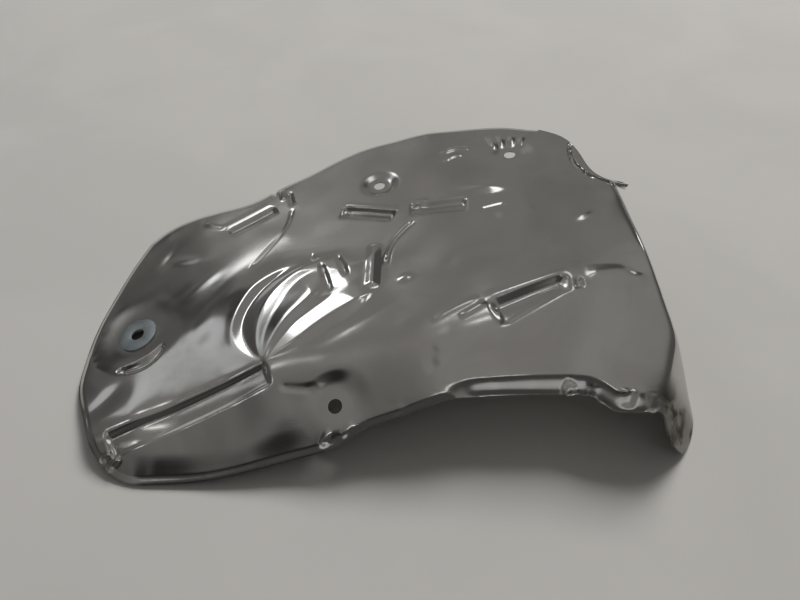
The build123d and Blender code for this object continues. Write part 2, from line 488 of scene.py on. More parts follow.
# Bolt seats
LEFT_SEAT = Seat((-169, -37), 13.0, 20.0, 1.0, 0.24, -0.02)
FRONT_SEAT = Seat((-36, -101), 9.0, 13.0, 0.4, 0.12, 0.33)
MIDDLE_SEAT = Seat((-15, 81), 6.5, 9.0, 2.6, 0.15, 0.0)
RIGHT_SEAT = Seat((80, 94), 5.5, 14.0, 1.9, 0.17, -0.05)
SEATS = (LEFT_SEAT, FRONT_SEAT, MIDDLE_SEAT, RIGHT_SEAT)

# The long front rib, then the upper left, middle left, middle right, upright and right ribs
RIBS = (
    Rib((-166.5, -107.5), (-81.5, -72.5),
        ((-16, 0), (-14, -0.95), (-3.7, -2.9), (-1, -0.55), (1.4, -0.12), (3.6, 0))),
    Rib((-127, 60), (-99, 77),
        ((-16, 0), (-14.6, -1), (-8, -2.6), (-5.2, -0.2), (-1, 0.2), (4, 0))),
    Rib((-37, 59.5), (-4, 48.5),
        ((-13.5, 0), (-12.2, -1), (-3.6, -3.3), (0, 0.2), (0.8, 0.3), (4, 0))),
    Rib((10, 53), (43, 51),
        ((-14.5, 0), (-13, -0.9), (-4.4, -2.6), (0, 0.1), (0.8, 0.2), (4, 0))),
    Rib((-17, 11), (-17.5, -22),
        ((-6.5, 0), (-5, 0.1), (-0.7, 1.6), (0.7, 1.6), (5, 0.1), (6.5, 0)),
        end_length=5.0),
    Rib((56, -43.6), (90.5, -33.4),
        ((-16, 0), (-14.4, -1.4), (-4.6, -4.3), (0, 0.1), (0.9, 0.3), (4.5, 0)), spread=(1.25, 0.83),
        end_length=8.0),
)

# The fan past the long rib's end: a broad swell, the folds on it and three short creases
FAN_APEX: Place = (-80, -72)
FAN_ANGLE = 35.0
FAN_SWING = 0.0085
FAN_SWING_START = 20.0
FAN = (
    Pleats(
        FAN_APEX, FAN_ANGLE, FAN_SWING, FAN_SWING_START,
        lines=(
            (-24, 0), (0, 0.03), (20, 0.045), (60, 0.045), (75, 0.053), (92, 0.036), (110, 0.03),
            (140, 0.014), (170, 0.003), (190, 0),
        ),
        growth=200.0,
        limits=((0, 92), (15, 98), (40, 108), (80, 98), (112, 94)),
        run_out=32.0,
    ),
    Pleats(
        FAN_APEX, FAN_ANGLE, FAN_SWING, FAN_SWING_START,
        lines=(
            (-14, 0), (0, 0.04), (22, 0.005), (37, 0.06), (43, 0.056), (62, 0.012), (79, 0.008),
            (96, -0.052), (112, 0.004), (122, 0),
        ),
        growth=42.0,
        limits=((-14, 64), (0, 80), (15, 74), (30, 62), (50, 72), (62, 76), (80, 82), (92, 78), (112, 72)),
    ),
    Crease(((-53, 4), (-47, -14), (-43, -27)), (1.5, 3.2, 2.0), -1.2),
    Crease(((-42, 10), (-37, -4), (-33, -15)), (1.5, 3.4, 2.0), -1.4),
    Crease(((-61, 14), (-55, 6)), (3.0, 3.0), -0.8),
)

# Creases and small folds over the sheet and along its edges
CREASES = (
    Crease(((-156, -103), (-76, -70)), (52.0, 55.0), -2.4, fade=0.35),
    Crease(((-79, 68), (-81, 48), (-93, 24), (-102, 8)), (2.4, 2.0, 1.6), -1.0, fade=0.12),
    Crease(((-156, -20), (-150, -28), (-148.5, -36), (-150.5, -45)), (1.2, 1.8, 1.2), 0.35),
    Crease(((-97, 96), (-95, 84)), (2.6, 2.2), -1.6),
    Crease(((-90, 92), (-87, 78)), (3.0, 2.2), 1.5),
    Crease(((-84, 88), (-79, 70)), (2.6, 3.2), -1.6),
    Crease(((-146, 67), (-138, 61), (-128, 57)), (3.0, 3.0), 0.9),
    Crease(((10, 34), (1, 23), (-7, 8), (-9, -8)), (2.6, 2.4, 2.4), -1.3, fade=0.12),
    Crease(((-175, -65), (-163, -63), (-153, -56), (-149, -47)),
           (1.5, 4.5, 5.5, 4.0, 1.0), -3.5, flat=0.2, fade=0.1),
    Crease(((-70, -88), (-59, -90), (-46, -91)), (3.0, 4.0), -0.7),
    Crease(((21, -73), (17, -80), (20, -88)), (5.0, 5.0), -0.6),
    Crease(((17, -59), (36, -48), (48, -43)), (2.6, 3.4), 0.8),
    Crease(((34, -57), (42, -52), (50, -47)), (3.0, 3.4), 1.0),
    Crease(((30, 106), (42, 110), (54, 105)), (3.5, 3.5), 1.0),
    Crease(((32, 95), (40, 101), (48, 100)), (3.0, 3.0), 0.9),
    Crease(((52, 35), (72, 38)), (3.0, 3.0), -0.6),
    Crease(((62, 24), (89, 34)), (9.0, 9.0), 0.6),
    Crease(((103, -36), (103, -44)), (3.0, 3.5), -1.6),
    Crease(((107, -33), (114, -34), (127, -35), (143, -41)), (6.0, 7.0, 5.0), 0.8, fade=0.2),
    Crease(((66, 121), (71, 100)), (3.2, 2.8), 1.0),
    Crease(((74, 121), (76, 100)), (3.0, 2.6), 0.9),
    Crease(((83, 119), (82, 100)), (3.0, 2.6), 0.9),
    Crease(((91, 115), (87, 100)), (2.8, 2.6), 0.8),
    Crease(((122, 96), (120, 83), (120.5, 71), (125, 59), (134, 47.5), (143, 38)),
           (1.5, 1.6, 1.2), -2.2, fade=0.08),
    Crease(((-43, -121), (-39, -112)), (2.4, 3.0), 1.4),
    Crease(((-32, -117), (-27, -109)), (2.4, 3.0), 1.3),
    Crease(((91, -100), (95, -94)), (5.0, 5.0), -2.2),
    Crease(((104, -104), (106, -95)), (4.0, 5.0), 1.4),
    Crease(((122, -108), (124, -99)), (5.0, 7.0), 1.6),
    Crease(((136, -110), (137, -101)), (4.0, 6.0), -1.6),
    Crease(((-170, -124), (-161, -119)), (2.2, 2.6), 1.0),
    Crease(((-166, -129), (-157, -122)), (2.2, 2.6), 0.9),
)

# Soft swellings and hollows, then the random dents over the sheet and along its edges
DENTS = (
    Dent((-176, -88), 14.0, 7.0, 55.0, -0.9),
    Dent((-166, 32), 8.0, 4.0, 75.0, -0.45),
    Dent((-152, 28), 9.0, 3.5, -10.0, 0.6),
    Dent((-132, 3), 12.0, 4.0, 48.0, 0.35),
    Dent((-44, -83), 12.0, 6.0, 10.0, 0.35),
    Dent((3, -19), 4.0, 3.0, 20.0, 0.9),
    Dent((14, 48), 6.0, 3.2, 75.0, 0.9),
    Dent((61, 58), 14.0, 6.0, -8.0, 1.8),
    Dent((115, 16), 5.0, 3.0, 30.0, 0.8),
    Dent((137, -34), 5.0, 3.5, 0.0, -1.0),
)

HANDLING = Knocks(60, (5.0, 16.0), 0.05, 11)
EDGE_KNOCKS = Knocks(54, (3.0, 8.0), 0.10, 23, 8.0)


@dataclass(frozen=True)
class Spacing:
    """How finely the sheet is modelled.

    Attributes:
        roof_cells: Cells along the length up to the down-turned side.
        wall_cells: Cells along the length of the down-turned side.
        depth_cells: Cells along the depth.
        wall_share: Share of the length that the down-turned side takes up.
        under_step: Cells of the upper face to each cell of the lower face.
    """

    roof_cells: int = 312
    wall_cells: int = 36
    depth_cells: int = 246
    wall_share: float = 0.09
    under_step: int = 3


@dataclass
class PressedForm:
    """The sheet's form over its plan, drawn in mm and stretched to the frame's box.

    Attributes:
        box: Lowest and highest corner of the sheet in the frame, in metres.
        bend_softness: How far in mm the bends between panels are rounded.
        front_left_sweep: How strongly the front left panel sweeps up to the right.
        wall_steepness: Fall of the down-turned side for each mm outwards.
        wall_foot: A place at the foot of the down-turned side.
        wall_foot_slant: Slant of that foot along the depth.
        lip_width: Width of the front lip.
        lip_drop: How far the lip turns down.
        lip_places: Where along the length it starts, is full, fades and ends.
        band_width: Distance from the front edge where the raised band is full.
        band_rise: Height of that band.
        band_fade: Length over which it runs out inwards.
        band_places: Where along the length it fades and ends.
        rolled_width: Width of the rolled edge.
        rolled_drop: How far it rolls down.
        sheet_thickness: Thickness of the sheet.
        hem_thickness: Thickness along the hem.
        hem_width: Width of the hem.
        spacing: How finely it is modelled.
        waves: Its slight waviness.
    """

    box: tuple[Vector, Vector]
    bend_softness: float = 3.0
    front_left_sweep: float = 0.00052
    wall_steepness: float = 2.8
    wall_foot: Place = (169, 0)
    wall_foot_slant: float = -0.075
    lip_width: float = 8.0
    lip_drop: float = 5.0
    lip_places: tuple[float, float, float, float] = (20, 44, 126, 148)
    band_width: float = 15.0
    band_rise: float = 0.8
    band_fade: float = 45.0
    band_places: Place = (-70, -20)
    rolled_width: float = 4.0
    rolled_drop: float = 1.4
    sheet_thickness: float = 0.6
    hem_thickness: float = 1.4
    hem_width: float = 5.0
    spacing: Spacing = field(default_factory=Spacing)
    waves: Waves = field(default_factory=Waves)

    def __post_init__(self) -> None:
        """Work out the stretch from the frame's box."""
        outline = np.array(FRONT_EDGE + BACK_EDGE + LEFT_EDGE + RIGHT_EDGE, float)
        low, high = np.array(self.box[0]) / MM, np.array(self.box[1]) / MM
        self.stretch = (high - low)[:2] / (outline.max(axis=0) - outline.min(axis=0))
        self.features = RIBS + FAN + CREASES + DENTS
        for knocks in (HANDLING, EDGE_KNOCKS):
            self.features += tuple(knocks.dents(outline))

    def placed(self, places: Line) -> Array:
        """Places of the drawing stretched to the frame's size."""
        return np.asarray(places, float) * self.stretch

    def plain_height(self, x: Array, y: Array) -> Array:
        """Height of the plain form, the lowest of its panels with soft bends between them.

        Args:
            x: Places along the length in mm.
            y: Places along the depth in mm.

        Returns:
            The height at each place in mm.
        """
        sweep = np.maximum(x - self.placed(FRONT_LEFT_PANEL.place)[0], 0)
        foot_x, foot_y = self.placed(self.wall_foot)
        faces = [
            TOP_PANEL.height_at(x, y, self.stretch),
            LEFT_PANEL.height_at(x, y, self.stretch),
            FRONT_LEFT_PANEL.height_at(x, y, self.stretch) + self.front_left_sweep * sweep**2,
            FRONT_RIGHT_PANEL.height_at(x, y, self.stretch),
            CORNER_PANEL.height_at(x, y, self.stretch),
            self.wall_steepness * (foot_x + self.wall_foot_slant * (y - foot_y) - x),
        ]
        return -self.bend_softness * np.log(sum(np.exp(-face / self.bend_softness) for face in faces))

    def seat_height(self, seat: Seat, x: Array, y: Array) -> Array:
        """Height of a seat's own plane over places on the plan.

        Args:
            seat: The seat.
            x: Places along the length in mm.
            y: Places along the depth in mm.

        Returns:
            The height at each place in mm.
        """
        cx, cy = self.placed(seat.centre)
        middle = float(self.plain_height(np.array(cx), np.array(cy))) - seat.sink
        return middle + seat.slope_x * (x - cx) + seat.slope_y * (y - cy)

    def ramp(self, x: Array, start: float, end: float) -> Array:
        """Ease from 0 to 1 between two places along the length."""
        low, high = self.placed(((start, 0), (end, 0)))[:, 0]
        return smooth_step((x - low) / (high - low))

    def finished_height(self, x: Array, y: Array, front_away: Array, other_away: Array) -> Array:
        """Height of the finished upper face.

        Args:
            x: Places along the length in mm.
            y: Places along the depth in mm.
            front_away: Distance of each place from the front edge.
            other_away: Distance of each place from the left and back edges.

        Returns:
            The height of each place in mm.
        """
        height = self.plain_height(x, y) + self.waves.height_at(x, y)
        for feature in self.features:
            height = height + feature.height_at(x, y, self.stretch)
        start, full, fade, end = self.lip_places
        lip = self.ramp(x, start, full) * (1 - self.ramp(x, fade, end))
        height = height - lip * self.lip_drop * (1 - smooth_step(front_away / self.lip_width))
        band = smooth_step(front_away / self.band_width)
        band = band * (1 - smooth_step((front_away - self.band_width) / self.band_fade))
        height = height + self.band_rise * band * (1 - self.ramp(x, *self.band_places))
        rolled = np.minimum(front_away + lip * self.lip_width, other_away)
        height = height - self.rolled_drop * (1 - smooth_step(rolled / self.rolled_width))
        for seat in SEATS:
            cx, cy = self.placed(seat.centre)
            share = smooth_step((seat.radius + seat.blend - np.hypot(x - cx, y - cy)) / seat.blend)
            height = height + share * (self.seat_height(seat, x, y) - height)
        return height

    def plan(self, across: Array, along: Array) -> tuple[Array, dict[str, Array]]:
        """Blend the four edges into one grid of places on the plan.

        Args:
            across: Shares of the length.
            along: Shares of the depth.

        Returns:
            The grid of places and the four edge curves by name.
        """
        edges = {
            "front": edge_curve(self.placed(FRONT_EDGE), across),
            "back": edge_curve(self.placed(BACK_EDGE), across),
            "left": edge_curve(self.placed(LEFT_EDGE), along),
            "right": edge_curve(self.placed(RIGHT_EDGE), along),
        }
        front, back, left, right = edges.values()
        u = across[:, None, None]
        v = along[None, :, None]
        corners = (1 - u) * (1 - v) * front[0] + u * (1 - v) * front[-1]
        corners = corners + (1 - u) * v * back[0] + u * v * back[-1]
        grid = (1 - v) * front[:, None] + v * back[:, None] + (1 - u) * left[None] + u * right[None]
        return grid - corners, edges

    def faces(self) -> tuple[Array, Array]:
        """Work out both faces of the sheet.

        Returns:
            Grids of places on the upper and lower face, in metres in the frame.
        """
        spacing = self.spacing
        wall_start = 1 - spacing.wall_share
        across = np.concatenate([
            np.linspace(0, wall_start, spacing.roof_cells + 1)[:-1],
            np.linspace(wall_start, 1, spacing.wall_cells + 1),
        ])
        along = np.linspace(0, 1, spacing.depth_cells + 1)
        grid, edges = self.plan(across, along)
        x, y = grid[..., 0], grid[..., 1]
        gaps = {name: np.abs(beside(x, y, curve).away) for name, curve in edges.items()}
        other_away = np.minimum(gaps["left"], gaps["back"])
        upper = np.dstack([x, y, self.finished_height(x, y, gaps["front"], other_away)])
        normal = np.cross(np.gradient(upper, axis=0), np.gradient(upper, axis=1))
        normal = normal / np.linalg.norm(normal, axis=2, keepdims=True)
        edge_away = np.minimum(np.minimum(gaps["front"], other_away), gaps["right"] * self.wall_steepness)
        hem = 1 - smooth_step((edge_away - 0.5 * self.hem_width) / (0.5 * self.hem_width))
        depth = self.sheet_thickness + (self.hem_thickness - self.sheet_thickness) * hem
        lower = upper - normal * depth[..., None]
        return self.in_frame(upper, lower)

    def in_frame(self, upper: Array, lower: Array) -> tuple[Array, Array]:
        """Move both faces so that they sit in the frame's box.

        Args:
            upper: Grid of places on the upper face in mm.
            lower: Grid of places on the lower face in mm.

        Returns:
            Both grids in metres in the frame.
        """
        points = np.concatenate([upper.reshape(-1, 3), lower.reshape(-1, 3)])
        middle = 0.5 * (points.max(axis=0) + points.min(axis=0))
        low, high = np.array(self.box[0]) / MM, np.array(self.box[1]) / MM
        goal = 0.5 * (low + high)
        shift = np.array([middle[0] - goal[0], middle[1] - goal[1], points[:, 2].min() - low[2]])
        self.shift = shift
        return (upper - shift) * MM, (lower - shift) * MM


def deselect_all() -> None:
    """Leave nothing selected before an operator runs."""
    if bpy.context.object is not None and bpy.context.object.mode != "OBJECT":
        bpy.ops.object.mode_set(mode="OBJECT")
    bpy.ops.object.select_all(action="DESELECT")


def pick(*objects: bpy.types.Object) -> None:
    """Select objects alone, the first one active.

    Args:
        objects: What to select.
    """
    deselect_all()
    for item in objects:
        item.select_set(True)
    bpy.context.view_layer.objects.active = objects[0]


def apply_place(piece: bpy.types.Object) -> None:
    """Put a piece's place and turn into its mesh, and its object at the origin."""
    pick(piece)
    bpy.ops.object.transform_apply(location=True, rotation=True, scale=True)


def apply_modifier(piece: bpy.types.Object, kind: str, **settings: object) -> None:
    """Add a modifier to a piece, set it and apply it.

    Args:
        piece: The piece to change.
        kind: Kind of modifier.
        settings: Its settings by name.
    """
    pick(piece)
    bpy.ops.object.modifier_add(type=kind)
    modifier = piece.modifiers[-1]
    for name, value in settings.items():
        setattr(modifier, name, value)
    bpy.ops.object.modifier_apply(modifier=modifier.name)


def turn_to(axis: Vector) -> Euler:
    """Turn that leans the upright direction along an axis."""
    return Vector((0, 0, 1)).rotation_difference(axis).to_euler()


def shaped_grid(name: str, places: Array) -> bpy.types.Object:
    """Add a grid and move each of its points to its place.

    Args:
        name: Name of the new object.
        places: Grid of places in metres.

    Returns:
        The shaped grid.
    """
    rows, columns = places.shape[0] - 1, places.shape[1] - 1
    deselect_all()
    bpy.ops.mesh.primitive_grid_add(x_subdivisions=rows, y_subdivisions=columns, size=2)
    piece = bpy.context.object
    piece.name = name
    count = len(piece.data.vertices)
    flat = np.empty(count * 3)
    piece.data.vertices.foreach_get("co", flat)
    start = flat.reshape(-1, 3)
    i = np.rint((start[:, 0] + 1) / 2 * rows).astype(int)
    j = np.rint((start[:, 1] + 1) / 2 * columns).astype(int)
    piece.data.vertices.foreach_set("co", places[i, j].ravel())
    piece.data.update()
    return piece


def mount_named(name: str) -> dict:
    """The record's mount of that name."""
    return next(mount for mount in frame["record"]["mounts"] if mount["name"] == name)


@dataclass
class ShieldSheet:
    """The pressed sheet with its hem and bolt holes, with lengths in mm and angles in degrees."""

    form: PressedForm
    hole_sides: int = 72
    cutter_length: float = 12.0
    smooth_angle: float = 38.0

    def build(self) -> bpy.types.Object:
        """Model the sheet from its two faces, close its hem, cut its holes and add its torn scrap.

        Returns:
            The finished sheet.
        """
        upper, lower = self.form.faces()
        step = self.form.spacing.under_step
        sheet = shaped_grid("shield_sheet_pressed", upper)
        under = shaped_grid("shield_sheet_under", lower[::step, ::step])
        pick(under)
        bpy.ops.object.mode_set(mode="EDIT")
        bpy.ops.mesh.select_all(action="SELECT")
        bpy.ops.mesh.flip_normals()
        bpy.ops.object.mode_set(mode="OBJECT")
        pick(sheet, under)
        bpy.ops.object.join()
        bpy.ops.object.mode_set(mode="EDIT")
        bpy.ops.mesh.select_mode(type="EDGE")
        bpy.ops.mesh.select_all(action="DESELECT")
        bpy.ops.mesh.select_non_manifold(
            extend=False, use_wire=False, use_boundary=True, use_multi_face=False,
            use_non_contiguous=False, use_verts=False,
        )
        bpy.ops.mesh.bridge_edge_loops()
        bpy.ops.object.mode_set(mode="OBJECT")
        self.cut_holes(sheet)
        pick(sheet, TornScrap(self.form).build())
        bpy.ops.object.join()
        bpy.ops.object.shade_smooth_by_angle(angle=math.radians(self.smooth_angle))
        return sheet

    def cut_holes(self, sheet: bpy.types.Object) -> None:
        """Cut the record's bolt holes through the sheet.

        Args:
            sheet: The closed sheet.
        """
        cutters = []
        for mount in frame["record"]["mounts"]:
            deselect_all()
            turn = turn_to(Vector(mount["axis"]))
            bpy.ops.mesh.primitive_cylinder_add(
                vertices=self.hole_sides, radius=mount["dims"]["r_mm"] * MM,
                depth=self.cutter_length * MM, location=mount["pos_m"], rotation=turn,
            )
            cutters.append(bpy.context.object)
        pick(*cutters)
        bpy.ops.object.join()
        cutter = bpy.context.object
        apply_modifier(sheet, "BOOLEAN", operation="DIFFERENCE", solver="EXACT", object=cutter)
        bpy.data.objects.remove(cutter)


@dataclass
class TornScrap:
    """A scrap of the hem at the upper right, torn and folded outwards, drawn in mm.

    Attributes:
        form: The sheet's form.
        root: Middle of the side that joins the hem.
        outward: Direction on the plan in which it sticks out.
        edge: Direction on the plan along the hem.
        length: How far it sticks out.
        width: Its width at the root.
        rise: How far its tip lies above the root.
        fold: Fall of its sides at the tip for each width away from the fold.
        ragged: Share of the length by which the torn end varies.
        below_edge: How far the root lies below the plain form.
        thickness: Its thickness.
        cells: Cells along each side.
        ragged_turns: Angle in radians that the torn end's wave runs through.
        ragged_start: Angle in radians where that wave starts.
        taper: Share of the width that is gone at the tip.
        fold_place: Share of the width where the fold runs.
    """

    form: PressedForm
    root: Place = (137.1, 47.0)
    outward: Place = (0.95, 0.30)
    edge: Place = (0.60, -0.80)
    length: float = 14.5
    width: float = 9.0
    rise: float = -5.2
    fold: float = 5.0
    ragged: float = 0.16
    below_edge: float = 1.3
    thickness: float = 0.6
    cells: int = 8
    ragged_turns: float = 11.0
    ragged_start: float = 1.0
    taper: float = 0.3
    fold_place: float = 0.4

    def places(self) -> Array:
        """Work out the scrap's surface.

        Returns:
            Grid of places in metres in the frame.
        """
        shares = np.linspace(0, 1, self.cells + 1)
        out, across = np.meshgrid(shares, shares, indexing="ij")
        torn = self.ragged * np.sin(self.ragged_turns * across + self.ragged_start)
        reach = self.length * out * (1 + torn)
        aside = self.width * (across - 0.5) * (1 - self.taper * out)
        root = self.form.placed(self.root)
        x = root[0] + self.outward[0] * reach + self.edge[0] * aside
        y = root[1] + self.outward[1] * reach + self.edge[1] * aside
        base = float(self.form.plain_height(root[0], root[1])) - self.below_edge
        z = base + self.rise * out - self.fold * out * np.abs(across - self.fold_place)
        return (np.dstack([x, y, z]) - self.form.shift) * MM

    def build(self) -> bpy.types.Object:
        """Model the scrap as a thin folded plate.

        Returns:
            The finished scrap.
        """
        scrap = shaped_grid("torn_hem_scrap", self.places())
        apply_modifier(scrap, "SOLIDIFY", thickness=self.thickness * MM)
        return scrap


@dataclass
class PennyWasher:
    """The plated washer that lies in the left seat, with lengths in mm."""

    thickness: float = 1.5
    sides: int = 128
    edge_round: float = 0.22
    edge_segments: int = 3
    smooth_angle: float = 30.0
    mount_name: str = "left_bolt_hole"

    def build(self) -> bpy.types.Object:
        """Model the washer as a flat ring with rounded edges, in its seat.

        Returns:
            The finished washer.
        """
        mount = mount_named(self.mount_name)
        axis = Vector(mount["axis"]).normalized()
        low, high = (Vector(corner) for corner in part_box("washer"))
        half = (high - low) / 2
        lean = abs(axis.x)
        radius = (half.x - self.thickness * MM / 2 * lean) / math.sqrt(1 - lean**2)
        bore = mount["dims"]["r_mm"] * MM
        deselect_all()
        bpy.ops.mesh.primitive_circle_add(vertices=self.sides, radius=radius, fill_type="NOTHING")
        washer = bpy.context.object
        washer.name = "plated_washer"
        bpy.ops.object.mode_set(mode="EDIT")
        bpy.ops.mesh.select_all(action="SELECT")
        bpy.ops.mesh.extrude_edges_move()
        share = bore / radius
        bpy.ops.transform.resize(value=(share, share, share))
        bpy.ops.mesh.select_all(action="SELECT")
        bpy.ops.mesh.normals_make_consistent(inside=False)
        bpy.ops.object.mode_set(mode="OBJECT")
        apply_modifier(washer, "SOLIDIFY", thickness=self.thickness * MM, offset=0)
        apply_modifier(washer, "BEVEL", width=self.edge_round * MM, segments=self.edge_segments)
        washer.rotation_euler = turn_to(axis)
        washer.location = (low + high) / 2
        apply_place(washer)
        bpy.ops.object.shade_smooth_by_angle(angle=math.radians(self.smooth_angle))
        return washer


@dataclass
class NodeDesk:
    """Adds and links nodes in one node tree."""

    tree: bpy.types.NodeTree

    def add(self, kind: str, **settings: object) -> bpy.types.Node:
        """Add a node.

        Args:
            kind: Kind of node.
            settings: Its settings by name.

        Returns:
            The new node.
        """
        node = self.tree.nodes.new(kind)
        for name, value in settings.items():
            setattr(node, name, value)
        return node

    def join(self, source: bpy.types.NodeSocket, target: bpy.types.NodeSocket) -> None:
        """Link one socket to another."""
        self.tree.links.new(source, target)

    def mapped(self, value: bpy.types.NodeSocket, start: Place, goal: Place) -> bpy.types.NodeSocket:
        """Ease a value from one range into another.

        Args:
            value: Socket to read.
            start: Its first and last value.
            goal: What those become.

        Returns:
            The eased value's socket.
        """
        node = self.add("ShaderNodeMapRange", interpolation_type="SMOOTHSTEP")
        for name, number in zip(("From Min", "From Max", "To Min", "To Max"), start + goal):
            node.inputs[name].default_value = number
        self.join(value, node.inputs["Value"])
        return node.outputs["Result"]

    def sum_of(self, operation: str, *terms: bpy.types.NodeSocket | float) -> bpy.types.NodeSocket:
        """Work out one step of arithmetic.

        Args:
            operation: Name of the step, such as MULTIPLY.
            terms: Sockets or numbers that go in.

        Returns:
            The result's socket.
        """
        node = self.add("ShaderNodeMath", operation=operation)
        for place, term in zip(node.inputs, terms):
            if isinstance(term, (int, float)):
                place.default_value = term
            else:
                self.join(term, place)
        return node.outputs["Value"]

    def blended(self, share: bpy.types.NodeSocket, first: Colour | bpy.types.NodeSocket,
                second: Colour) -> bpy.types.NodeSocket:
        """Mix two colours.

        Args:
            share: Socket with the second colour's share.
            first: The first colour or its socket.
            second: The second colour.

        Returns:
            The mixed colour's socket.
        """
        node = self.add("ShaderNodeMix", data_type="RGBA")
        self.join(share, node.inputs["Factor"])
        if isinstance(first, tuple):
            node.inputs[MIX_FIRST].default_value = first
        else:
            self.join(first, node.inputs[MIX_FIRST])
        node.inputs[MIX_SECOND].default_value = second
        return node.outputs[MIX_RESULT]


@dataclass
class NoiseGroup(NodeDesk):
    """A shared node group that draws noise at a scale."""

    entry: bpy.types.Node
    noise: bpy.types.Node
    result: bpy.types.NodeSocket

    @classmethod
    def start(cls, name: str, result: str, detail: float) -> "NoiseGroup":
        """Start a group.

        Args:
            name: Name of the group.
            result: Name of the value that it puts out.
            detail: Fineness of its noise.

        Returns:
            The group, with its noise not yet linked to its ends.
        """
        group = bpy.data.node_groups.new(name, "ShaderNodeTree")
        group.interface.new_socket("Vector", in_out="INPUT", socket_type="NodeSocketVector")
        group.interface.new_socket("Scale", in_out="INPUT", socket_type="NodeSocketFloat")
        group.interface.new_socket(result, in_out="OUTPUT", socket_type="NodeSocketFloat")
        entry = group.nodes.new("NodeGroupInput")
        noise = group.nodes.new("ShaderNodeTexNoise")
        noise.inputs["Detail"].default_value = detail
        group.links.new(entry.outputs["Scale"], noise.inputs["Scale"])
        return cls(group, entry, noise, group.nodes.new("NodeGroupOutput").inputs[result])


def add_grain_group() -> None:
    """Add fine lines along the rolling direction, shared by the metal finishes."""
    desk = NoiseGroup.start("rolled_grain", "Grain", GRAIN_DETAIL)
    drawn = desk.add("ShaderNodeVectorMath", operation="MULTIPLY")
    drawn.inputs[1].default_value = GRAIN_STRETCH
    desk.join(desk.entry.outputs["Vector"], drawn.inputs[0])
    desk.join(drawn.outputs["Vector"], desk.noise.inputs["Vector"])
    desk.join(desk.noise.outputs["Fac"], desk.result)


def add_smudge_group() -> None:
    """Add cloudy patches of handling marks, shared by all the finishes."""
    desk = NoiseGroup.start("smudges", "Mask", SMUDGE_DETAIL)
    desk.noise.inputs["Distortion"].default_value = SMUDGE_SWIRL
    desk.join(desk.entry.outputs["Vector"], desk.noise.inputs["Vector"])
    desk.join(desk.mapped(desk.noise.outputs["Fac"], SMUDGE_RANGE, WHOLE_RANGE), desk.result)


@dataclass
class FinishDesk(NodeDesk):
    """The node tree of one material, with the shared groups at hand."""

    material: bpy.types.Material
    shader: bpy.types.Node
    coordinates: bpy.types.NodeSocket

    @classmethod
    def start(cls, name: str) -> "FinishDesk":
        """Start a material that reads Object coordinates.

        Args:
            name: Name of the material.

        Returns:
            The material's desk.
        """
        material = bpy.data.materials.new(name)
        material.use_nodes = True
        tree = material.node_tree
        shader = next(node for node in tree.nodes if node.type == "BSDF_PRINCIPLED")
        coordinates = tree.nodes.new("ShaderNodeTexCoord").outputs["Object"]
        return cls(tree, material, shader, coordinates)

    def shared(self, group: str, scale: float) -> bpy.types.NodeSocket:
        """Place a shared group.

        Args:
            group: Name of the group.
            scale: Scale of its pattern.

        Returns:
            The socket of its result.
        """
        node = self.add("ShaderNodeGroup", node_tree=bpy.data.node_groups[group])
        node.inputs["Scale"].default_value = scale
        self.join(self.coordinates, node.inputs["Vector"])
        return node.outputs[0]

    def relief(self, height: bpy.types.NodeSocket, depth: float) -> None:
        """Let a value stand out of the surface.

        Args:
            height: Socket of the value.
            depth: How far it stands out in metres.
        """
        bump = self.add("ShaderNodeBump")
        bump.inputs["Distance"].default_value = depth
        self.join(height, bump.inputs["Height"])
        self.join(bump.outputs["Normal"], self.shader.inputs["Normal"])

    def patchy(self, scale: float, first: Colour, second: Colour, roughness: Place) -> None:
        """Vary the colour and the roughness in cloudy patches.

        Args:
            scale: Scale of the patches.
            first: Colour between the patches.
            second: Colour in them.
            roughness: Roughness between the patches and in them.
        """
        patches = self.shared("smudges", scale)
        self.join(self.blended(patches, first, second), self.shader.inputs["Base Color"])
        self.join(self.mapped(patches, WHOLE_RANGE, roughness), self.shader.inputs["Roughness"])


